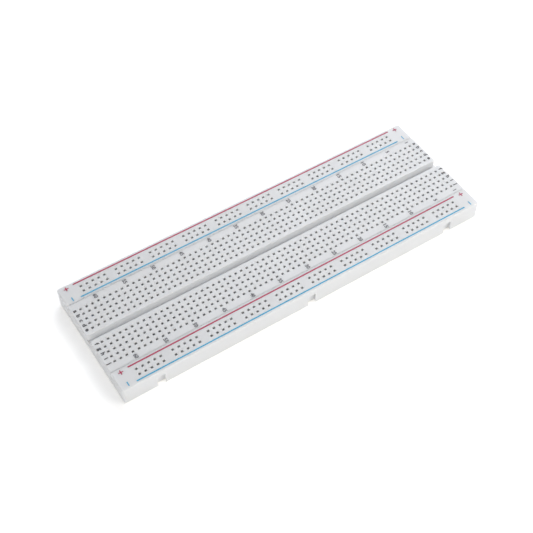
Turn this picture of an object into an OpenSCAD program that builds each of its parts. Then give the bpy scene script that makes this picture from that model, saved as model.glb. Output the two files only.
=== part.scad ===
// Solderless breadboard: a terminal strip between two power rails that lock to it side by side.
// Every strip is a moulded body with sprung contact clips pressed in from below,
// closed underneath by a foam pad and its paper release liner.
// X runs along the columns, Y across the rows, Z up. The origin is on the underside, in the
// middle of the terminal strip, so the strip faces the table at z = 0.

/* [Board] */
// Distance between neighbouring contact points
pitch = 2.54; // [2.50:0.01:2.60]
// Number of terminal columns
columns = 63; // [33:6:63]
// Height of the moulded bodies
body_h = 8.5; // [8:0.1:10]
// Space across the board that the terminal strip takes
terminal_w = 35.6; // [35:0.1:37]
// Space across the board that each power rail takes
rail_w = 9.5; // [9:0.1:10.5]
// Gap between neighbouring strips
seam = 0.1; // [0.05:0.05:0.2]
// Radius of the upright corners
corner_r = 0.8; // [0.3:0.1:1.2]

/* [Contact holes] */
// Side of each square lead hole
hole = 1.0; // [0.9:0.1:1.3]
// Thickness of the top plate that the lead holes pass through
plate_t = 0.8; // [0.6:0.1:2.2]
// Rows of contact points in each bank of the terminal strip
bank_rows = 5; // [4:1:5]
// Contact points in each group along a power rail
rail_group = 5; // [4:1:5]
// Width of the centre groove
groove_w = 2.5; // [2:0.1:3.2]
// Depth of the centre groove
groove_d = 3.2; // [2:0.1:4]

/* [Contact clips] */
// Thickness of the spring strip
strip_t = 0.2; // [0.15:0.05:0.25]
// Width over the clip's base channel
clip_w = 1.5; // [1.3:0.1:1.6]
// Height of the clip's base channel
channel_h = 2; // [1.5:0.1:2.5]
// Height over the sprung fingers
finger_h = 6.1; // [5:0.1:6.2]
// Length of each finger along the clip
finger_l = 1.7; // [1.4:0.1:2]
// Gap between the two fingers at their nip
nip = 0.12; // [0.1:0.01:0.3]
// Width of the moulded slot that holds a clip
slot_w = 1.9; // [1.7:0.1:2]

/* [Backing] */
// Thickness of the foam pad
foam_t = 0.7; // [0.5:0.1:1]
// Thickness of the release liner
liner_t = 0.1; // [0.1:0.05:0.2]
// How far the backing stands in from the body's edge
backing_inset = 0.5; // [0.3:0.1:1]
// Room round a locking socket that the backing is cut clear of
notch_room = 0.35; // [0.2:0.05:0.5]

/* [Interlock] */
// Width of a locking tab where it leaves the wall
tab_root_w = 3; // [2.5:0.1:3.4]
// Width of a locking tab at its outer face
tab_tip_w = 3.9; // [3.5:0.1:4.4]
// How far a locking tab stands out
tab_d = 1.5; // [1.2:0.1:1.6]
// Height of a locking tab
tab_h = 5.5; // [4:0.1:6]
// Clearance all round a tab in its socket
tab_gap = 0.15; // [0.1:0.05:0.2]
// Distance from an outer tab to the end of the board
tab_end = 15.65; // [12:0.05:20]

/* [Hidden] */
board_l = (columns + 2) * pitch;
floor_z = liner_t + foam_t;
top_z = floor_z + body_h;
slot_top_z = top_z - plate_t;
clip_z = floor_z + 0.35;

// The two banks stand three pitches apart across the groove.
bank_y = (bank_rows + 2) / 2 * pitch;
bank_l = (bank_rows - 1) * pitch;
rail_y = terminal_w / 2 + rail_w / 2;
rail_groups = floor((columns - 3) / (rail_group + 1));
rail_last = rail_groups * (rail_group + 1) - 2;
rail_l = rail_last * pitch;
slot_end = 1.2;

tab_x = board_l / 2 - tab_end;
tab_places = [-tab_x, 0, tab_x];
keel_w = groove_w + 0.3;
keel_roof = 1.5;
end_wall = 2.5;

// Clips are gathered five columns at a time, as the printed column numbers count them.
columns_per_node = 5;
clip_nodes = ceil(columns / columns_per_node);
function two_digits(n) = n < 10 ? str("0", n) : str(n);
function last_column(i) = min(columns, (i + 1) * columns_per_node);
function clip_node_name(bank, i) =
    str("clips_", bank, "_", two_digits(i * columns_per_node + 1), "_", two_digits(last_column(i)));
clip_names_ae = [for (i = [0 : clip_nodes - 1]) clip_node_name("ae", i)];
clip_names_fj = [for (i = [0 : clip_nodes - 1]) clip_node_name("fj", i)];

// Column 1 is at the +X end and row a on the +Y side.
function column_x(c) = ((columns + 1) / 2 - c) * pitch;
function row_y(r) = (r - (bank_rows - 1) / 2) * pitch;
function rail_x(g, k) = (g * (rail_group + 1) + k - rail_last / 2) * pitch;

// One side of the clip's finger profile, from the channel's rim in to the nip.
function finger_profile(side) = [
    [side * clip_w / 2, channel_h],
    [side * (clip_w / 2 - strip_t), channel_h],
    [side * nip / 2, finger_h],
    [side * (nip / 2 + strip_t), finger_h]
];

// A rectangle of size w by d with true round corners.
module rounded_rect(w, d, r) {
    square([w - 2 * r, d], center = true);
    square([w, d - 2 * r], center = true);
    for (x = [-1, 1], y = [-1, 1])
        translate([x * (w / 2 - r), y * (d / 2 - r)]) circle(r, $fn = 48);
}

// A moulded block between y0 and y1, standing on the backing.
module body_block(y0, y1) {
    translate([0, (y0 + y1) / 2, floor_z])
        linear_extrude(body_h) rounded_rect(board_l, y1 - y0, corner_r);
}

// The dovetail outline of a tab, growing along +Y, widened all round by gap.
module dovetail(gap) {
    polygon([
        [-tab_root_w / 2 - gap, -1],
        [tab_root_w / 2 + gap, -1],
        [tab_root_w / 2 + gap, 0],
        [tab_tip_w / 2 + gap, tab_d + gap],
        [-tab_tip_w / 2 - gap, tab_d + gap],
        [-tab_root_w / 2 - gap, 0]
    ]);
}

// The three tabs on a strip's +Y wall.
module tabs(y) {
    for (x = tab_places)
        translate([x, y, floor_z]) linear_extrude(tab_h) dovetail(0);
}

// The three sockets cut into a strip's -Y wall, open at the underside.
module sockets(y) {
    for (x = tab_places)
        translate([x, y - tab_gap, floor_z - 1])
            linear_extrude(tab_h + tab_gap + 1) dovetail(tab_gap);
}

// One square lead hole through the top plate.
module lead_hole(x, y) {
    translate([x - hole / 2, y - hole / 2, slot_top_z - 0.5])
        cube([hole, hole, plate_t + 1]);
}

// A slot for one clip, open at the underside, l long and w wide.
module clip_slot(x, y, l, w) {
    translate([x - l / 2, y - w / 2, floor_z - 1])
        cube([l, w, slot_top_z - floor_z + 1]);
}

// One clip of n contacts along Y: a base channel and n pairs of sprung fingers.
module contact_clip(n) {
    l = (n - 1) * pitch + finger_l;
    translate([-clip_w / 2, -l / 2, 0]) difference() {
        cube([clip_w, l, channel_h]);
        translate([strip_t, -1, strip_t]) cube([clip_w - 2 * strip_t, l + 2, channel_h]);
    }
    for (k = [0 : n - 1], side = [-1, 1])
        translate([0, (k - (n - 1) / 2) * pitch + finger_l / 2, 0])
            rotate([90, 0, 0]) linear_extrude(finger_l) polygon(finger_profile(side));
}

// The centre strip: two banks of five rows with the groove between them.
module terminal_strip() {
    edge = terminal_w / 2 - seam / 2;
    color("whitesmoke") {
        difference() {
            body_block(-edge, edge);
            for (c = [1 : columns], bank = [-1, 1], r = [0 : bank_rows - 1])
                lead_hole(column_x(c), bank * bank_y + row_y(r));
            for (c = [1 : columns], bank = [-1, 1])
                clip_slot(column_x(c), bank * bank_y, slot_w, bank_l + 2 * slot_end);
            translate([-board_l / 2 - 1, -groove_w / 2, top_z - groove_d])
                cube([board_l + 2, groove_w, groove_d + 1]);
            translate([-board_l / 2 + end_wall, -keel_w / 2, floor_z - 1])
                cube([board_l - 2 * end_wall, keel_w, body_h - groove_d - keel_roof + 1]);
            sockets(-edge);
        }
        tabs(edge);
    }
}

// A power rail centred at y = mid: two rows of grouped holes over two long slots.
module power_rail(mid) {
    inner = rail_w / 2 - (mid > 0 ? seam / 2 : 0);
    outer = rail_w / 2 - (mid > 0 ? 0 : seam / 2);
    color("whitesmoke") {
        difference() {
            body_block(mid - inner, mid + outer);
            for (g = [0 : rail_groups - 1], k = [0 : rail_group - 1], row = [-0.5, 0.5])
                lead_hole(rail_x(g, k), mid + row * pitch);
            for (row = [-0.5, 0.5])
                clip_slot(0, mid + row * pitch, rail_l + 2 * slot_end, slot_w);
            sockets(mid - inner);
        }
        tabs(mid + outer);
    }
}

// The clips of up to five neighbouring columns in one bank.
module clip_group(bank, i) {
    color("silver")
        for (c = [i * columns_per_node + 1 : last_column(i)])
            translate([column_x(c), bank * bank_y, clip_z]) contact_clip(bank_rows);
}

// One long clip under a whole row of a power rail.
module bus_clip(y) {
    l = rail_l + finger_l;
    color("silver") translate([0, y, clip_z]) {
        translate([-l / 2, -clip_w / 2, 0]) difference() {
            cube([l, clip_w, channel_h]);
            translate([-1, strip_t, strip_t]) cube([l + 2, clip_w - 2 * strip_t, channel_h]);
        }
        for (g = [0 : rail_groups - 1], k = [0 : rail_group - 1], side = [-1, 1])
            translate([rail_x(g, k) - finger_l / 2, 0, 0])
                rotate([90, 0, 90]) linear_extrude(finger_l) polygon(finger_profile(side));
    }
}

// A flat layer of backing under the strip that is centred at y and takes w of the board.
// Three notches in its -Y edge leave the locking sockets open for the tabs.
module backing(y, w, z, t) {
    l = board_l - 2 * backing_inset;
    d = w - seam - 2 * backing_inset;
    notch_w = tab_tip_w + 2 * (tab_gap + notch_room);
    notch_d = tab_d + notch_room - backing_inset;
    translate([-l / 2, y - d / 2, z]) difference() {
        cube([l, d, t]);
        for (x = tab_places)
            translate([l / 2 + x - notch_w / 2, -1, -1]) cube([notch_w, notch_d + 1, t + 2]);
    }
}

module foam_pad(y, w) {
    color("ivory") backing(y, w, liner_t, foam_t);
}

module liner(y, w) {
    color("wheat") backing(y, w, 0, liner_t);
}

terminal_strip();
power_rail(rail_y);  // power_rail_a
power_rail(-rail_y);  // power_rail_j
for (i = [0 : clip_nodes - 1])
    clip_group(1, i);
for (i = [0 : clip_nodes - 1])
    clip_group(-1, i);
bus_clip(rail_y + pitch / 2);  // bus_clip_a_plus
bus_clip(rail_y - pitch / 2);  // bus_clip_a_minus
bus_clip(-rail_y + pitch / 2);  // bus_clip_j_plus
bus_clip(-rail_y - pitch / 2);  // bus_clip_j_minus
foam_pad(0, terminal_w);  // foam_pad_terminal
foam_pad(rail_y, rail_w);  // foam_pad_a
foam_pad(-rail_y, rail_w);  // foam_pad_j
liner(0, terminal_w);  // liner_terminal
liner(rail_y, rail_w);  // liner_a
liner(-rail_y, rail_w);  // liner_j
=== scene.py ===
"""A full-size solderless breadboard: a grooved terminal strip locked between two power rails."""

import math

import bmesh
import bpy
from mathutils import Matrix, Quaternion, Vector
from mathutils.geometry import delaunay_2d_cdt


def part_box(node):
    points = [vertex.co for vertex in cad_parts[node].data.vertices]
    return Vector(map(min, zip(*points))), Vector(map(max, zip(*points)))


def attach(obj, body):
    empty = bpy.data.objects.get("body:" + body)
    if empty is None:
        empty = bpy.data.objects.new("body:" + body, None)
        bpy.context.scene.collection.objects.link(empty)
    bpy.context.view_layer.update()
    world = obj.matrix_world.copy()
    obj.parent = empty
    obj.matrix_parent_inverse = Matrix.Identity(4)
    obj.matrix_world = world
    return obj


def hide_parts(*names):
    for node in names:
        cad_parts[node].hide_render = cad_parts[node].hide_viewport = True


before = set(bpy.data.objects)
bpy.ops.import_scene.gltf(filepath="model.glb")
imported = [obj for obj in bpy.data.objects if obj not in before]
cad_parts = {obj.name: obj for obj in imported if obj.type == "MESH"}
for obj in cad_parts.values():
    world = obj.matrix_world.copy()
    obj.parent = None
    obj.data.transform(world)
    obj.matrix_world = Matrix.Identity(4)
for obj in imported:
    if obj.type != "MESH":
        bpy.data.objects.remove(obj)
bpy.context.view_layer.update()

# Everything below is drawn in millimetres and turned to metres as each piece is made.
MM = 0.001

# ---------------------------------------------------------------- sizes of the board

PITCH = 2.54
COLUMNS = 63
BANK_ROWS = 5
BANK_Y = 3.5 * PITCH
RAIL_GROUPS = 10
RAIL_GROUP = 5

CORNER_R = 0.8
CORNER_STEPS = 5
SEAM = 0.1
TAB_ROOT = 3.0
TAB_TIP = 3.9
TAB_D = 1.5
TAB_H = 5.5
TAB_GAP = 0.15
TAB_EASE = 0.15
TAB_TOP_EASE, TAB_TOP_EASE_H = 0.2, 0.25
# How far a tab reaches back into its wall, and a socket's cutter past the plastic that it cuts.
TAB_OVERLAP = 1
TAB_X = 66.9
TAB_PLACES = (-TAB_X, 0.0, TAB_X)

GROOVE_W = 2.2
GROOVE_D = 3.2
PLATE_T = 0.8
SLOT_W = 1.9
SLOT_END = 1.2
KEEL_W = 2.8
KEEL_ROOF = 4.7
KEEL_END_WALL = 2.5


def node_box(name):
    """A node's lowest and highest corner, in millimetres."""
    low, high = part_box(name)
    return [v / MM for v in low], [v / MM for v in high]


STRIP_LOW, STRIP_HIGH = node_box("terminal_strip")
RAIL_A_LOW, RAIL_A_HIGH = node_box("power_rail_a")
RAIL_J_LOW, _ = node_box("power_rail_j")

UNDER = STRIP_LOW[2]
TOP = STRIP_HIGH[2]
SLOT_TOP = TOP - PLATE_T
HALF_L = STRIP_HIGH[0]
STRIP_EDGE = STRIP_HIGH[1] - TAB_D
RAIL_A_Y = (STRIP_EDGE + RAIL_A_HIGH[1] - TAB_D) / 2 + SEAM / 4
RAIL_J_Y = -RAIL_A_Y
RAIL_L = (RAIL_GROUPS * (RAIL_GROUP + 1) - 2) * PITCH


def column_x(column):
    """Column 1 is at the +X end."""
    return ((COLUMNS + 1) / 2 - column) * PITCH


def bank_row_y(side, row):
    """side is 1 for rows a to e and -1 for rows f to j. row 0 is the lowest in Y."""
    return side * BANK_Y + (row - (BANK_ROWS - 1) / 2) * PITCH


def rail_contact_xs():
    return [
        (group * (RAIL_GROUP + 1) + k) * PITCH - RAIL_L / 2
        for group in range(RAIL_GROUPS)
        for k in range(RAIL_GROUP)
    ]


# ---------------------------------------------------------------- drawing


class Shape:
    """The points and faces of one piece. A point that is given twice is kept once."""

    def __init__(self):
        self.points, self.faces, self.known = [], [], {}

    def point(self, x, y, z):
        key = (round(x * 500), round(y * 500), round(z * 500))
        if key not in self.known:
            self.known[key] = len(self.points)
            self.points.append((x, y, z))
        return self.known[key]

    def face(self, corners):
        ids = [self.point(*c) for c in corners]
        if len(set(ids)) == len(ids) > 2:
            self.faces.append(ids)

    def wall(self, lower, upper):
        """Joins two closed rings that have the same number of points."""
        for i in range(len(lower)):
            j = (i + 1) % len(lower)
            self.face([lower[i], lower[j], upper[j], upper[i]])

    def loft(self, rings):
        for lower, upper in zip(rings, rings[1:]):
            self.wall(lower, upper)

    def edges(self, ring, closed=True):
        ids = [self.point(*p) for p in ring]
        return list(zip(ids, ids[1:] + ids[:1] if closed else ids[1:]))

    def fill(self, edges, holes=()):
        """Closes a level opening bounded by these edges, except for its holes, each a loop of edges."""
        inside = {i: n for n, hole in enumerate(holes) for edge in hole for i in edge}
        edges = list(edges) + [edge for hole in holes for edge in hole]
        ids = sorted({i for edge in edges for i in edge})
        place = {i: n for n, i in enumerate(ids)}
        flat = [Vector(self.points[i][:2]) for i in ids]
        made = delaunay_2d_cdt(flat, [(place[a], place[b]) for a, b in edges], [], 1, 1e-6)
        for triangle in made[2]:
            corners = [ids[made[3][v][0]] for v in triangle]
            if len({inside.get(i, -1 - i) for i in corners}) > 1:
                self.faces.append(corners)

    def open_edges(self, z):
        """The edges at height z that only one face uses."""
        uses = {}
        for face in self.faces:
            for a, b in zip(face, face[1:] + face[:1]):
                uses[frozenset((a, b))] = uses.get(frozenset((a, b)), 0) + 1
        level = [tuple(e) for e, n in uses.items() if n == 1]
        return [e for e in level if all(abs(self.points[i][2] - z) < 0.002 for i in e)]


def round_ring(x0, x1, y0, y1, radii, z, steps=CORNER_STEPS):
    """A rectangle with round corners, anticlockwise from the corner at x1, y0. radii are at y0 and at y1."""
    low, high = radii
    corners = (
        (x1 - low, y0 + low, low, -90),
        (x1 - high, y1 - high, high, 0),
        (x0 + high, y1 - high, high, 90),
        (x0 + low, y0 + low, low, 180),
    )
    ring = []
    for cx, cy, radius, start in corners:
        for i in range(steps + 1):
            turn = math.radians(start + 90 * i / steps)
            ring.append((cx + radius * math.cos(turn), cy + radius * math.sin(turn), z))
    return ring


def square_ring(x0, x1, y0, y1, z):
    return [(x0, y0, z), (x1, y0, z), (x1, y1, z), (x0, y1, z)]


def mesh_from(shape, name, smooth=30):
    """The shape as a mesh in metres, with its faces turned outwards and crisp where they meet at an angle."""
    mesh = bpy.data.meshes.new(name)
    mesh.from_pydata([[v * MM for v in p] for p in shape.points], [], shape.faces)
    bm = bmesh.new()
    bm.from_mesh(mesh)
    bmesh.ops.recalc_face_normals(bm, faces=bm.faces)
    bm.to_mesh(mesh)
    bm.free()
    mesh.shade_smooth()
    mesh.set_sharp_from_angle(angle=math.radians(smooth))
    return mesh


def make_piece(name, shape, material, body, replaces=(), smooth=30):
    piece = bpy.data.objects.new(name, mesh_from(shape, name, smooth))
    bpy.context.scene.collection.objects.link(piece)
    piece.data.materials.append(material)
    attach(piece, body)
    if replaces:
        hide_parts(*replaces)
    return piece


def even_shading(piece):
    """Large flat faces set the shading, so that the top stays flat right up to its rounded edges."""
    weigh = piece.modifiers.new("even_shading", "WEIGHTED_NORMAL")
    weigh.keep_sharp = True


# ---------------------------------------------------------------- moulded bodies

# The rounded top edge at an outer wall, at the groove and at a seam: how far it reaches in, how far down it
# starts, and how far its wall leans out over the groove's depth.
OUTER_EDGE = (0.35, 0.35, 0.0)
GROOVE_EDGE = (0.45, 2.0, 0.1)
SEAM_EDGE = (0.03, 0.1, 0.0)
EDGE_STEPS = 4
GROOVE_CORNER_R = 1.4
FOOT_CHAMFER = 0.12
# Two strips stand this far closer in the seam than their frames, as a snug fit does.
SEAM_SNUG = 0.045

# The mouth of a lead hole: its width, its corners' radius, and its depth below the top.
HOLE_STEPS = (
    (1.07, 0.14, 0.0),
    (1.00, 0.12, 0.03),
    (0.95, 0.10, 0.1),
    (0.95, 0.10, PLATE_T),
)


def wall_inset(z, edge):
    """How far a wall has drawn in at height z, from the chamfer at its foot to its rounded top edge."""
    reach, height, lean = edge
    foot = max(0.0, FOOT_CHAMFER - (z - UNDER))
    leaning = lean * max(0.0, 1 - (TOP - z) / GROOVE_D)
    rise = min(1.0, max(0.0, 1 - (TOP - z) / height))
    return foot + leaning + reach * (1 - math.sqrt(1 - rise * rise))


def block_rings(x0, x1, y0, y1, edges, heights, radii=(CORNER_R, CORNER_R)):
    """Rings up a block's walls. edges are those of its ends, its low y side and its high y side."""
    rings = []
    for z in heights:
        ends, low, high = (wall_inset(z, edge) for edge in edges)
        corners = (radii[0] - max(ends, low), radii[1] - max(ends, high))
        rings.append(round_ring(x0 + ends, x1 - ends, y0 + low, y1 - high, corners, z))
    return rings


def rim_heights(edges):
    """The heights of the rings that round these top edges."""
    turns = [math.radians(90 * i / EDGE_STEPS) for i in range(EDGE_STEPS + 1)]
    return sorted({round(TOP - height * (1 - math.sin(turn)), 4) for _, height, _ in edges for turn in turns})


def lead_hole(shape, x, y):
    """Adds a square hole with a funnel mouth, and gives the edges of its mouth and of its lower end."""
    rings = [
        round_ring(x - w / 2, x + w / 2, y - w / 2, y + w / 2, (r, r), TOP - depth, steps=2)
        for w, r, depth in HOLE_STEPS
    ]
    shape.loft(rings)
    return shape.edges(rings[0]), shape.edges(rings[-1])


def pocket(shape, x0, x1, y0, y1, roof):
    """Adds a pocket's walls, open at the underside, and gives the edges of its roof and of its foot."""
    low, high = square_ring(x0, x1, y0, y1, UNDER), square_ring(x0, x1, y0, y1, roof)
    shape.wall(low, high)
    return shape.edges(high), shape.edges(low)


def tab_shape(x, wall):
    """A dovetail locking tab that stands out along +Y, with its ends eased."""
    shape = Shape()
    rings = []
    for z, ease in ((0, TAB_EASE), (TAB_EASE, 0), (TAB_H - TAB_TOP_EASE_H, 0), (TAB_H, TAB_TOP_EASE)):
        root, tip, out = TAB_ROOT / 2 - ease, TAB_TIP / 2 - ease, wall + TAB_D - ease
        rings.append(
            [
                (x - root, wall - TAB_OVERLAP, UNDER + z),
                (x + root, wall - TAB_OVERLAP, UNDER + z),
                (x + root, wall, UNDER + z),
                (x + tip, out - TAB_EASE, UNDER + z),
                (x + tip - TAB_EASE, out, UNDER + z),
                (x - tip + TAB_EASE, out, UNDER + z),
                (x - tip, out - TAB_EASE, UNDER + z),
                (x - root, wall, UNDER + z),
            ]
        )
    shape.loft(rings)
    shape.face(rings[0])
    shape.face(rings[-1])
    return shape


def socket_shape(x, wall):
    """What is cut from a wall for a neighbour's tab, with a chamfer at the mouth."""
    shape = Shape()
    mouth, tip = TAB_ROOT / 2 + TAB_GAP, TAB_TIP / 2 + TAB_GAP
    rings = [
        [
            (x - mouth - TAB_EASE, wall - TAB_OVERLAP, z),
            (x + mouth + TAB_EASE, wall - TAB_OVERLAP, z),
            (x + mouth + TAB_EASE, wall, z),
            (x + mouth, wall + TAB_EASE, z),
            (x + tip, wall + TAB_D, z),
            (x - tip, wall + TAB_D, z),
            (x - mouth, wall + TAB_EASE, z),
            (x - mouth - TAB_EASE, wall, z),
        ]
        for z in (UNDER - TAB_OVERLAP, UNDER + TAB_H + TAB_GAP)
    ]
    shape.loft(rings)
    shape.face(rings[0])
    shape.face(rings[-1])
    return shape


def cut_and_join(shape, tabs, sockets):
    """Joins tabs to a closed shell and cuts sockets from it, then takes off its top and its underside."""
    scene = bpy.context.scene
    parts = []

    def temporary(s, name):
        mesh = bpy.data.meshes.new(name)
        mesh.from_pydata(s.points, [], s.faces)
        bm = bmesh.new()
        bm.from_mesh(mesh)
        bmesh.ops.recalc_face_normals(bm, faces=bm.faces)
        bm.to_mesh(mesh)
        bm.free()
        thing = bpy.data.objects.new(name, mesh)
        scene.collection.objects.link(thing)
        parts.append(thing)
        return thing

    body = temporary(shape, "shell")
    for operation, others in (("UNION", tabs), ("DIFFERENCE", sockets)):
        for other in others:
            change = body.modifiers.new(operation.lower(), "BOOLEAN")
            change.operation, change.solver = operation, "EXACT"
            change.object = temporary(other, operation.lower())
    graph = bpy.context.evaluated_depsgraph_get()
    mesh = bpy.data.meshes.new_from_object(body.evaluated_get(graph))
    done = Shape()
    for polygon in mesh.polygons:
        corners = [tuple(mesh.vertices[i].co) for i in polygon.vertices]
        heights = {round(c[2], 3) for c in corners}
        if heights in ({round(TOP, 3)}, {round(UNDER, 3)}):
            continue
        done.face(corners)
    for thing in parts:
        bpy.data.objects.remove(thing)
    bpy.data.meshes.remove(mesh)
    return done


def terminal_shell():
    """The centre strip's outer walls and its groove."""
    shape = Shape()
    wall = STRIP_EDGE + SEAM_SNUG
    foot_of_groove = GROOVE_W / 2 - GROOVE_EDGE[2]
    floor = TOP - GROOVE_D
    n = CORNER_STEPS

    def rings(side, heights):
        if side > 0:
            edges, radii = (OUTER_EDGE, GROOVE_EDGE, SEAM_EDGE), (GROOVE_CORNER_R, CORNER_R)
            return block_rings(-HALF_L, HALF_L, foot_of_groove, wall, edges, heights, radii)
        edges, radii = (OUTER_EDGE, SEAM_EDGE, GROOVE_EDGE), (CORNER_R, GROOVE_CORNER_R)
        return block_rings(-HALF_L, HALF_L, -wall, -foot_of_groove, edges, heights, radii)

    def outer(ring_a, ring_f):
        return ring_a[n : 3 * n + 4] + ring_f[3 * n + 2 :] + ring_f[: n + 2]

    feet = [rings(side, (UNDER, UNDER + FOOT_CHAMFER, floor)) for side in (1, -1)]
    lower = [outer(a, f) for a, f in zip(*feet)]
    shape.loft(lower)
    shape.face(lower[0])
    for side in (1, -1):
        up = rings(side, [floor] + rim_heights((OUTER_EDGE, GROOVE_EDGE, SEAM_EDGE)))
        shape.loft(up)
        shape.face(up[-1])
    ring_a, ring_f = feet[0][-1], feet[1][-1]
    side_a = ring_a[3 * n + 3 :] + ring_a[: n + 1]
    side_f = ring_f[n + 1 : 3 * n + 3]
    shape.fill(shape.edges(side_a + side_f))
    return cut_and_join(
        shape,
        [tab_shape(x, wall) for x in TAB_PLACES],
        [socket_shape(x, -wall) for x in TAB_PLACES],
    )


def terminal_strip_shape():
    shape = terminal_shell()
    mouths, ends, roofs, feet = [], [], [], []
    for side in (1, -1):
        for column in range(1, COLUMNS + 1):
            x = column_x(column)
            for row in range(BANK_ROWS):
                mouth, end = lead_hole(shape, x, bank_row_y(side, row))
                mouths.append(mouth)
                ends.append(end)
            reach = (BANK_ROWS - 1) * PITCH / 2 + SLOT_END
            y = side * BANK_Y
            roof, foot = pocket(shape, x - SLOT_W / 2, x + SLOT_W / 2, y - reach, y + reach, SLOT_TOP)
            roofs += roof
            feet.append(foot)
    keel_x = HALF_L - KEEL_END_WALL
    keel_roof, foot = pocket(shape, -keel_x, keel_x, -KEEL_W / 2, KEEL_W / 2, TOP - KEEL_ROOF)
    feet.append(foot)
    shape.fill(shape.open_edges(TOP), mouths)
    shape.fill(roofs, ends)
    shape.fill(keel_roof)
    shape.fill(shape.open_edges(UNDER), feet)
    return shape


def power_rail_shape(y0, y1, edge_low, edge_high, middle):
    """A rail from y0 to y1, with the top edges of its low and high Y sides."""
    shell = Shape()
    edges = (OUTER_EDGE, edge_low, edge_high)
    heights = [UNDER, UNDER + FOOT_CHAMFER] + rim_heights(edges)
    rings = block_rings(-HALF_L, HALF_L, y0, y1, edges, heights)
    shell.loft(rings)
    shell.face(rings[0])
    shell.face(rings[-1])
    shape = cut_and_join(
        shell, [tab_shape(x, y1) for x in TAB_PLACES], [socket_shape(x, y0) for x in TAB_PLACES]
    )
    mouths, ends, roofs, feet = [], [], [], []
    for row in (-0.5, 0.5):
        y = middle + row * PITCH
        for x in rail_contact_xs():
            mouth, end = lead_hole(shape, x, y)
            mouths.append(mouth)
            ends.append(end)
        reach = RAIL_L / 2 + SLOT_END
        roof, foot = pocket(shape, -reach, reach, y - SLOT_W / 2, y + SLOT_W / 2, SLOT_TOP)
        roofs += roof
        feet.append(foot)
    shape.fill(shape.open_edges(TOP), mouths)
    shape.fill(roofs, ends)
    shape.fill(shape.open_edges(UNDER), feet)
    return shape


# ---------------------------------------------------------------- contact clips

STRIP_T = 0.2
CLIP_Z = 1.15
CHANNEL_H = 2.0
FINGER_L = 1.7

# Half of a clip's section at mid-thickness, from the middle of its base up one finger: how far out, and
# how high.
CLIP_BEND = (
    (0.0, 0.1),
    (0.36, 0.1),
    (0.5, 0.13),
    (0.61, 0.22),
    (0.65, 0.36),
    (0.65, 1.2),
    (0.65, 2.0),
    (0.635, 2.6),
    (0.57, 3.2),
    (0.45, 3.85),
    (0.31, 4.5),
    (0.2, 4.95),
    (0.165, 5.2),
    (0.19, 5.45),
    (0.29, 5.72),
    (0.42, 6.0),
)
CHANNEL_POINTS = 7
CLIPS_IN_NODE = 5


def clip_sheet(shape, stations, place):
    """Adds one folded clip as a sheet. stations are the middles of its fingers along it, and place puts a
    point in the board."""
    section = [(-out, up) for out, up in CLIP_BEND[:0:-1]] + list(CLIP_BEND)
    bends = len(CLIP_BEND) - CHANNEL_POINTS
    cuts = sorted(s + d for s in stations for d in (-FINGER_L / 2, FINGER_L / 2))
    for i, (start, end) in enumerate(zip(cuts, cuts[1:])):
        is_finger = i % 2 == 0
        first, last = (0, len(section) - 1) if is_finger else (bends, len(section) - 1 - bends)
        for (o0, u0), (o1, u1) in zip(section[first:last], section[first + 1 : last + 1]):
            shape.face([place(start, o0, u0), place(end, o0, u0), place(end, o1, u1), place(start, o1, u1)])


def make_clip_piece(name, shape, body, node):
    piece = make_piece(name, shape, contact_metal, body, (node,), smooth=40)
    thick = piece.modifiers.new("strip_thickness", "SOLIDIFY")
    thick.thickness = STRIP_T * MM
    thick.offset = 0
    thick.use_even_offset = True
    return piece


# ---------------------------------------------------------------- foam and liner

NOTCH_ROOM = 0.35
BACKING_INSET = 0.5
BACKING_CORNER = 0.4
NOTCH_W = TAB_TIP + 2 * (TAB_GAP + NOTCH_ROOM)
NOTCH_D = TAB_D + NOTCH_ROOM - BACKING_INSET


def backing_ring(x0, x1, y0, y1, inset, z):
    """A backing's outline with its three notches, drawn in by inset."""
    corner = BACKING_CORNER
    ring = [(x0 + inset, y1 - inset, z), (x0 + inset, y0 + corner, z), (x0 + corner, y0 + inset, z)]
    for x in TAB_PLACES:
        w, d = NOTCH_W / 2 + inset, y0 + NOTCH_D + inset
        ring += [(x - w, y0 + inset, z), (x - w, d, z), (x + w, d, z), (x + w, y0 + inset, z)]
    ring += [(x1 - corner, y0 + inset, z), (x1 - inset, y0 + corner, z), (x1 - inset, y1 - inset, z)]
    return ring


def backing_shape(low, high, levels):
    """levels are pairs of height above low and how far the edge is drawn in."""
    shape = Shape()
    rings = [backing_ring(low[0], high[0], low[1], high[1], inset, low[2] + h) for h, inset in levels]
    shape.loft(rings)
    shape.fill(shape.edges(rings[0]))
    shape.fill(shape.edges(rings[-1]))
    return shape


# ---------------------------------------------------------------- printing

INK_T = 0.012
LINE_HALF_L = 76.0
LINE_W = 0.56
LINE_OFFSET = 3.5
SIGN_X = 79.2
SIGN_SIZE = 2.0
SIGN_W = 0.42
SIGN_OFFSET = 2.85
NUMBER_Y = 16.4
NUMBER_H = 1.65
DIGIT_W = 0.95
DIGIT_GAP = 0.15
LETTER_X = 81.0
X_HEIGHT = 1.08
LETTER_STRETCH = 1.12
# How much bolder the figures are than the built-in typeface, as a share of its size.
TYPE_WEIGHT = 0.03


def ink_patch(shape, outline):
    """A flat printed patch, from just inside the plastic to just above it. outline is a list of x and y."""
    low = [(x, y, TOP - INK_T) for x, y in outline]
    high = [(x, y, TOP + INK_T) for x, y in outline]
    shape.wall(low, high)
    shape.face(low)
    shape.face(high)


def ink_bar(shape, x0, x1, y0, y1, radius=0.08):
    ink_patch(shape, [(x, y) for x, y, _ in round_ring(x0, x1, y0, y1, (radius, radius), 0, steps=3)])


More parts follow.
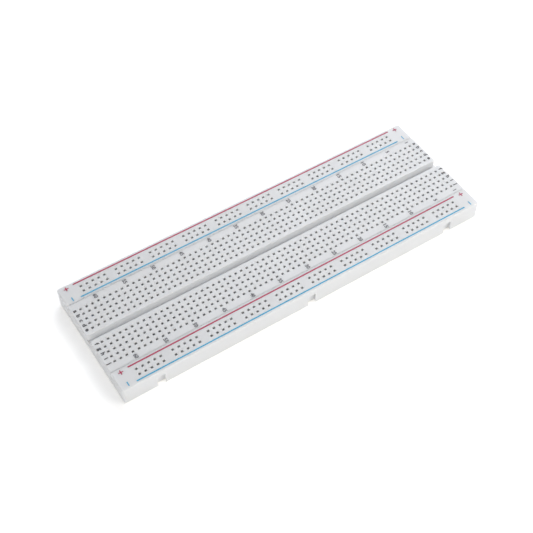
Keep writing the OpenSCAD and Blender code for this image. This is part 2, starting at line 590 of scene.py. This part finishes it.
def ink_plus(shape, x, y):
    a, b = SIGN_W / 2, SIGN_SIZE / 2
    right, up = ((b, -a), (b, a), (a, a)), ((a, b), (-a, b), (-a, a))
    left, down = ((-b, a), (-b, -a), (-a, -a)), ((-a, -b), (a, -b), (a, -a))
    ink_patch(shape, [(x + u, y + v) for u, v in right + up + left + down])


def type_outline(text):
    """The built-in typeface's mesh for a label, as its points and faces, with its left and lower edges at 0.
    """
    curve = bpy.data.curves.new("label", "FONT")
    curve.body = text
    curve.resolution_u = 4
    curve.offset = TYPE_WEIGHT
    label = bpy.data.objects.new("label", curve)
    bpy.context.scene.collection.objects.link(label)
    graph = bpy.context.evaluated_depsgraph_get()
    mesh = bpy.data.meshes.new_from_object(label.evaluated_get(graph))
    points = [tuple(v.co[:2]) for v in mesh.vertices]
    faces = [list(p.vertices) for p in mesh.polygons]
    bpy.data.objects.remove(label)
    bpy.data.curves.remove(curve)
    bpy.data.meshes.remove(mesh)
    return points, faces


def print_label(shape, text, x, y, scale_across, scale_up, middle, base):
    """Prints text that reads towards -Y with its top towards +X. middle and base are what lands on x, y."""
    points, faces = type_outline(text)
    placed = [(x + (v - base) * scale_up, y - (u - middle) * scale_across) for u, v in points]
    uses = {}
    for face in faces:
        for a, b in zip(face, face[1:] + face[:1]):
            uses[frozenset((a, b))] = (a, b) if frozenset((a, b)) not in uses else None
    for face in faces:
        shape.face([(*placed[i], TOP + INK_T) for i in face])
    for rim in uses.values():
        if rim:
            a, b = (placed[i] for i in rim)
            shape.face([(*a, TOP + INK_T), (*b, TOP + INK_T), (*b, TOP - INK_T), (*a, TOP - INK_T)])


def column_numbers_shape():
    shape = Shape()
    figures, _ = type_outline("8")
    figure_h = max(v for _, v in figures) - min(v for _, v in figures)
    foot = min(v for _, v in figures)
    for column in [1] + list(range(5, COLUMNS, 5)):
        text = str(column)
        points, _ = type_outline(text)
        left, right = min(u for u, _ in points), max(u for u, _ in points)
        width = DIGIT_W * len(text) + DIGIT_GAP * (len(text) - 1)
        across = width / (right - left) if len(text) > 1 or column > 1 else NUMBER_H / figure_h
        middle, base = (left + right) / 2, foot + figure_h / 2
        for y in (NUMBER_Y, -NUMBER_Y):
            print_label(shape, text, column_x(column), y, across, NUMBER_H / figure_h, middle, base)
    return shape


def row_letters_shape():
    shape = Shape()
    body, _ = type_outline("x")
    x_height = max(v for _, v in body)
    scale = X_HEIGHT / x_height
    for side, letters in ((1, "edcba"), (-1, "jihgf")):
        for row, letter in enumerate(letters):
            points, _ = type_outline(letter)
            middle = (min(u for u, _ in points) + max(u for u, _ in points)) / 2
            y = bank_row_y(side, row)
            for x in (-LETTER_X, LETTER_X):
                print_label(shape, letter, x, y, scale * LETTER_STRETCH, scale, middle, x_height / 2)
    return shape


# ---------------------------------------------------------------- materials


def srgb(code):
    """A hex colour as linear red, green, blue and alpha."""
    parts = [int(code[i : i + 2], 16) / 255 for i in (1, 3, 5)]
    return [c / 12.92 if c <= 0.04045 else ((c + 0.055) / 1.055) ** 2.4 for c in parts] + [1.0]


def add(tree, kind, inputs=None, **settings):
    """Adds a node with its settings. An input is a value, or another node's output to link from."""
    made = tree.nodes.new(kind)
    for name, value in settings.items():
        setattr(made, name, value)
    for name, value in (inputs or {}).items():
        if isinstance(value, bpy.types.NodeSocket):
            tree.links.new(value, made.inputs[name])
        else:
            made.inputs[name].default_value = value
    return made


def new_material(name):
    """An empty material with its shader and its output, and object coordinates in metres."""
    material = bpy.data.materials.new(name)
    material.use_nodes = True
    tree = material.node_tree
    tree.nodes.clear()
    shader = add(tree, "ShaderNodeBsdfPrincipled")
    add(tree, "ShaderNodeOutputMaterial", {"Surface": shader.outputs["BSDF"]})
    place = add(tree, "ShaderNodeTexCoord").outputs["Object"]
    return material, tree, shader, place


def per_mm(size):
    """The texture scale that gives a feature of this many millimetres."""
    return 1 / (size * MM)


def moulded_abs():
    """ABS, injection moulded in a fine-polished steel tool. It is a cool white with a soft gloss; the skin
    has a faint orange peel, and slow changes in gloss where the plastic flowed and cooled. Light soaks a
    millimetre or two into it, which softens the shade in the groove and the holes."""
    material, tree, shader, place = new_material("white_abs_moulded")
    flow = add(
        tree, "ShaderNodeTexNoise", {"Vector": place, "Scale": per_mm(14), "Detail": 3.0, "Roughness": 0.55}
    )
    speck = add(tree, "ShaderNodeTexNoise", {"Vector": place, "Scale": per_mm(1.1), "Detail": 2.0})
    tint = add(
        tree,
        "ShaderNodeMix",
        {"Factor": flow.outputs["Fac"], "A": srgb("#E5E6E8"), "B": srgb("#EAEBEC")},
        data_type="RGBA",
    )
    tree.links.new(tint.outputs["Result"], shader.inputs["Base Color"])
    gloss = add(
        tree,
        "ShaderNodeMapRange",
        {"Value": flow.outputs["Fac"], "From Min": 0.3, "From Max": 0.7, "To Min": 0.34, "To Max": 0.46},
    )
    tree.links.new(gloss.outputs["Result"], shader.inputs["Roughness"])
    peel = add(
        tree,
        "ShaderNodeBump",
        {"Height": speck.outputs["Fac"], "Strength": 0.25, "Distance": 0.006 * MM},
    )
    tree.links.new(peel.outputs["Normal"], shader.inputs["Normal"])
    shader.inputs["IOR"].default_value = 1.53
    shader.inputs["Subsurface Weight"].default_value = 1.0
    shader.inputs["Subsurface Radius"].default_value = (1.0, 0.97, 0.94)
    shader.inputs["Subsurface Scale"].default_value = 1.5 * MM
    return material


def rolled_contact_metal():
    """Phosphor bronze strip, rolled, nickel plated and stamped. It is a warm silver with fine rolling
    lines."""
    material, tree, shader, place = new_material("nickel_plated_bronze_strip")
    stretched = add(tree, "ShaderNodeMapping", {"Vector": place, "Scale": (1.0, 1.0, 0.08)})
    lines = add(
        tree,
        "ShaderNodeTexNoise",
        {"Vector": stretched.outputs["Vector"], "Scale": per_mm(0.12), "Detail": 3.0},
    )
    cloud = add(tree, "ShaderNodeTexNoise", {"Vector": place, "Scale": per_mm(2.0), "Detail": 2.0})
    tint = add(
        tree,
        "ShaderNodeMix",
        {"Factor": cloud.outputs["Fac"], "A": srgb("#C6C0B4"), "B": srgb("#D8D3C8")},
        data_type="RGBA",
    )
    tree.links.new(tint.outputs["Result"], shader.inputs["Base Color"])
    gloss = add(
        tree,
        "ShaderNodeMapRange",
        {"Value": lines.outputs["Fac"], "From Min": 0.3, "From Max": 0.7, "To Min": 0.2, "To Max": 0.36},
    )
    tree.links.new(gloss.outputs["Result"], shader.inputs["Roughness"])
    grain = add(
        tree, "ShaderNodeBump", {"Height": lines.outputs["Fac"], "Strength": 0.3, "Distance": 0.003 * MM}
    )
    tree.links.new(grain.outputs["Normal"], shader.inputs["Normal"])
    shader.inputs["Metallic"].default_value = 1.0
    return material


def cut_foam():
    """Closed-cell polyethylene foam, die cut. It is matte ivory, and its cut cells show as tiny dimples."""
    material, tree, shader, place = new_material("closed_cell_foam")
    cells = add(tree, "ShaderNodeTexVoronoi", {"Vector": place, "Scale": per_mm(0.3)}, feature="F1")
    cloud = add(tree, "ShaderNodeTexNoise", {"Vector": place, "Scale": per_mm(6.0), "Detail": 3.0})
    tint = add(
        tree,
        "ShaderNodeMix",
        {"Factor": cloud.outputs["Fac"], "A": srgb("#E6E1D2"), "B": srgb("#F0ECE0")},
        data_type="RGBA",
    )
    pitted = add(
        tree,
        "ShaderNodeMix",
        {"Factor": cells.outputs["Distance"], "A": tint.outputs["Result"], "B": srgb("#C9C3B1")},
        data_type="RGBA",
    )
    tree.links.new(pitted.outputs["Result"], shader.inputs["Base Color"])
    rough = add(
        tree,
        "ShaderNodeMapRange",
        {
            "Value": cells.outputs["Distance"],
            "From Min": 0.0,
            "From Max": 0.8,
            "To Min": 0.75,
            "To Max": 0.95,
        },
    )
    tree.links.new(rough.outputs["Result"], shader.inputs["Roughness"])
    dimples = add(
        tree, "ShaderNodeBump", {"Height": cells.outputs["Distance"], "Strength": 0.6, "Distance": 0.05 * MM}
    )
    tree.links.new(dimples.outputs["Normal"], shader.inputs["Normal"])
    shader.inputs["IOR"].default_value = 1.5
    return material


def release_paper():
    """Glassine kraft paper with a silicone face. It is pale straw, cloudy with pulp, and has a waxy sheen.
    Its fibres are a few hundredths of a millimetre wide, and are drawn a millimetre wide so that they show."""
    material, tree, shader, place = new_material("silicone_release_paper")
    pulp = add(
        tree, "ShaderNodeTexNoise", {"Vector": place, "Scale": per_mm(5.0), "Detail": 3.0, "Roughness": 0.5}
    )
    laid = add(tree, "ShaderNodeMapping", {"Vector": place, "Scale": (0.6, 1.0, 1.0)})
    fibre = add(
        tree, "ShaderNodeTexNoise", {"Vector": laid.outputs["Vector"], "Scale": per_mm(1.0), "Detail": 2.0}
    )
    cloudy = add(
        tree,
        "ShaderNodeMix",
        {"Factor": pulp.outputs["Fac"], "A": srgb("#E0D5B8"), "B": srgb("#EAE1C8")},
        data_type="RGBA",
    )
    fibrous = add(
        tree,
        "ShaderNodeMix",
        {"Factor": fibre.outputs["Fac"], "A": cloudy.outputs["Result"], "B": srgb("#ECE3CC")},
        data_type="RGBA",
    )
    tree.links.new(fibrous.outputs["Result"], shader.inputs["Base Color"])
    gloss = add(
        tree,
        "ShaderNodeMapRange",
        {"Value": pulp.outputs["Fac"], "From Min": 0.3, "From Max": 0.7, "To Min": 0.38, "To Max": 0.55},
    )
    tree.links.new(gloss.outputs["Result"], shader.inputs["Roughness"])
    cockle = add(
        tree, "ShaderNodeBump", {"Height": pulp.outputs["Fac"], "Strength": 0.3, "Distance": 0.03 * MM}
    )
    tree.links.new(cockle.outputs["Normal"], shader.inputs["Normal"])
    shader.inputs["IOR"].default_value = 1.45
    return material


def printing_ink(name, thin, full):
    """Screen printing ink on plastic. It lies a few microns thick, dense with a faint mottle where the mesh
    left it thin, and a little less glossy than the moulding."""
    material, tree, shader, place = new_material(name)
    mottle = add(
        tree, "ShaderNodeTexNoise", {"Vector": place, "Scale": per_mm(0.9), "Detail": 4.0, "Roughness": 0.6}
    )
    tint = add(
        tree,
        "ShaderNodeMix",
        {"Factor": mottle.outputs["Fac"], "A": srgb(thin), "B": srgb(full)},
        data_type="RGBA",
    )
    tree.links.new(tint.outputs["Result"], shader.inputs["Base Color"])
    gloss = add(
        tree,
        "ShaderNodeMapRange",
        {"Value": mottle.outputs["Fac"], "From Min": 0.3, "From Max": 0.7, "To Min": 0.42, "To Max": 0.58},
    )
    tree.links.new(gloss.outputs["Result"], shader.inputs["Roughness"])
    film = add(
        tree, "ShaderNodeBump", {"Height": mottle.outputs["Fac"], "Strength": 0.3, "Distance": 0.004 * MM}
    )
    tree.links.new(film.outputs["Normal"], shader.inputs["Normal"])
    shader.inputs["IOR"].default_value = 1.5
    return material


def studio_floor():
    """Matt white studio sweep with a faint tooth. It glows, and more so further out, so that it stays an even
    white beyond the reach of the softboxes."""
    material, tree, shader, place = new_material("white_studio_floor")
    tooth = add(tree, "ShaderNodeTexNoise", {"Vector": place, "Scale": per_mm(20), "Detail": 2.0})
    tint = add(
        tree,
        "ShaderNodeMix",
        {"Factor": tooth.outputs["Fac"], "A": srgb("#F8F8F8"), "B": srgb("#FCFCFC")},
        data_type="RGBA",
    )
    tree.links.new(tint.outputs["Result"], shader.inputs["Base Color"])
    shader.inputs["Roughness"].default_value = 0.9
    shader.inputs["Emission Color"].default_value = (1, 1, 1, 1)
    reach = add(tree, "ShaderNodeVectorMath", {0: place}, operation="LENGTH")
    glow = add(
        tree,
        "ShaderNodeMapRange",
        {"Value": reach.outputs["Value"], "From Min": 0.3, "From Max": 1.6, "To Min": 0.38, "To Max": 0.86},
    )
    tree.links.new(glow.outputs["Result"], shader.inputs["Emission Strength"])
    return material


abs_plastic = moulded_abs()
contact_metal = rolled_contact_metal()
foam = cut_foam()
paper = release_paper()
red_ink = printing_ink("red_printing_ink", "#C22B5A", "#AE1C4C")
blue_ink = printing_ink("blue_printing_ink", "#48B8E0", "#38A8D2")
grey_ink = printing_ink("dark_grey_printing_ink", "#4A4A4D", "#353538")
thin_grey_ink = printing_ink("thin_grey_printing_ink", "#74747A", "#5C5C62")

# ---------------------------------------------------------------- camera and light

CAMERA_AT = Vector((-141.1, -220.1, 329.5))
CAMERA_AIM = Vector((-8.4, -7.6, TOP))
CAMERA_ROLL = -0.98
CAMERA_LENS = 70.1

camera_data = bpy.data.cameras.new("camera")
camera_data.lens = CAMERA_LENS
camera_data.sensor_width = 36
camera_data.clip_start = 0.01
camera_data.clip_end = 40
camera = bpy.data.objects.new("camera", camera_data)
camera.location = CAMERA_AT * MM
camera.rotation_mode = "QUATERNION"
camera.rotation_quaternion = (CAMERA_AIM - CAMERA_AT).to_track_quat("-Z", "Y") @ Quaternion(
    (0, 0, 1), math.radians(CAMERA_ROLL)
)
bpy.context.scene.collection.objects.link(camera)
bpy.context.scene.camera = camera
bpy.context.scene.view_settings.view_transform = "Standard"


def softbox(name, at, aim, size, watts, tint):
    data = bpy.data.lights.new(name, "AREA")
    data.shape = "RECTANGLE"
    data.size, data.size_y = size
    data.energy = watts
    data.color = srgb(tint)[:3]
    light = bpy.data.objects.new(name, data)
    light.location = at
    light.rotation_mode = "QUATERNION"
    light.rotation_quaternion = (Vector(aim) - Vector(at)).to_track_quat("-Z", "Y")
    light.visible_camera = False
    bpy.context.scene.collection.objects.link(light)
    return light


COOL, WARM = "#F6F9FF", "#FFFCF6"

softbox("overhead_softbox", (0.25, 0.1, 1.3), (0, 0, 0), (1.4, 1.4), 4.6, COOL)
softbox("front_left_softbox", (-0.6, -0.9, 1.0), (0, 0, 0), (0.9, 0.9), 3.3, WARM)
softbox("front_right_softbox", (0.5, -0.65, 0.72), (0, 0, 0), (0.6, 0.6), 4.1, WARM)
softbox("back_right_softbox", (0.5, 0.55, 0.75), (0, 0, 0), (0.6, 0.6), 4.2, COOL)

world = bpy.data.worlds.new("studio")
world.use_nodes = True
world.node_tree.nodes["Background"].inputs["Color"].default_value = (1, 1, 1, 1)
world.node_tree.nodes["Background"].inputs["Strength"].default_value = 0.15
bpy.context.scene.world = world

FLOOR_R = 15000
FLOOR_SIDES = 12

floor_shape = Shape()
for i in range(FLOOR_SIDES):
    turns = [math.radians(360 * k / FLOOR_SIDES) for k in (i, i + 1)]
    floor_shape.face([(0, 0, 0)] + [(FLOOR_R * math.cos(t), FLOOR_R * math.sin(t), 0) for t in turns])
floor = bpy.data.objects.new("studio_floor", mesh_from(floor_shape, "studio_floor"))
floor.data.materials.append(studio_floor())
bpy.context.scene.collection.objects.link(floor)

# ---------------------------------------------------------------- the board

strip = make_piece(
    "terminal_strip_body",
    terminal_strip_shape(),
    abs_plastic,
    "terminal",
    ("terminal_strip",),
)
even_shading(strip)

SEAM_Y = RAIL_A_LOW[1] - SEAM_SNUG
OUTER_Y = -RAIL_J_LOW[1]
rail_a = make_piece(
    "power_rail_body_a",
    power_rail_shape(SEAM_Y, OUTER_Y, SEAM_EDGE, OUTER_EDGE, RAIL_A_Y),
    abs_plastic,
    "rail_a",
    ("power_rail_a",),
)
rail_j = make_piece(
    "power_rail_body_j",
    power_rail_shape(-OUTER_Y, -SEAM_Y, OUTER_EDGE, SEAM_EDGE, RAIL_J_Y),
    abs_plastic,
    "rail_j",
    ("power_rail_j",),
)
even_shading(rail_a)
even_shading(rail_j)

for bank, side in (("ae", 1), ("fj", -1)):
    for first in range(1, COLUMNS + 1, CLIPS_IN_NODE):
        last = min(COLUMNS, first + CLIPS_IN_NODE - 1)
        node = f"clips_{bank}_{first:02d}_{last:02d}"
        shape = Shape()
        for column in range(first, last + 1):
            clip_sheet(
                shape,
                [bank_row_y(side, row) for row in range(BANK_ROWS)],
                lambda along, out, up: (column_x(column) + out, along, CLIP_Z + up),
            )
        make_clip_piece(f"contact_{node}", shape, "terminal", node)

for rail, middle in (("a", RAIL_A_Y), ("j", RAIL_J_Y)):
    for sign, row in (("plus", 0.5), ("minus", -0.5)):
        node = f"bus_clip_{rail}_{sign}"
        shape = Shape()
        y = middle + row * PITCH
        clip_sheet(shape, rail_contact_xs(), lambda along, out, up: (along, y + out, CLIP_Z + up))
        make_clip_piece(f"contact_{node}", shape, f"rail_{rail}", node)

for name, body in (("terminal", "terminal"), ("a", "rail_a"), ("j", "rail_j")):
    low, high = node_box(f"foam_pad_{name}")
    thick = high[2] - low[2]
    pad_levels = [(0, 0.06), (0.1, 0.01), (thick / 2, 0), (thick - 0.1, 0.01), (thick, 0.06)]
    pad = make_piece(
        f"adhesive_foam_{name}",
        backing_shape(low, high, pad_levels),
        foam,
        body,
        (f"foam_pad_{name}",),
    )
    low, high = node_box(f"liner_{name}")
    make_piece(
        f"release_liner_{name}",
        backing_shape(low, high, [(0, 0), (high[2] - low[2], 0)]),
        paper,
        body,
        (f"liner_{name}",),
    )

for rail, middle in (("a", RAIL_A_Y), ("j", RAIL_J_Y)):
    for sign, way, ink in (("plus", 1, red_ink), ("minus", -1, blue_ink)):
        shape = Shape()
        y = middle + way * LINE_OFFSET
        ink_bar(shape, -LINE_HALF_L, LINE_HALF_L, y - LINE_W / 2, y + LINE_W / 2)
        make_piece(f"printed_line_{rail}_{sign}", shape, ink, f"rail_{rail}")
        shape = Shape()
        y = middle + way * SIGN_OFFSET
        for x in (-SIGN_X, SIGN_X):
            if way > 0:
                ink_plus(shape, x, y)
            else:
                ink_bar(shape, x - SIGN_W / 2, x + SIGN_W / 2, y - SIGN_SIZE / 2, y + SIGN_SIZE / 2)
        make_piece(f"printed_{sign}_signs_{rail}", shape, ink, f"rail_{rail}")

make_piece("printed_column_numbers", column_numbers_shape(), thin_grey_ink, "terminal")
make_piece("printed_row_letters", row_letters_shape(), grey_ink, "terminal")
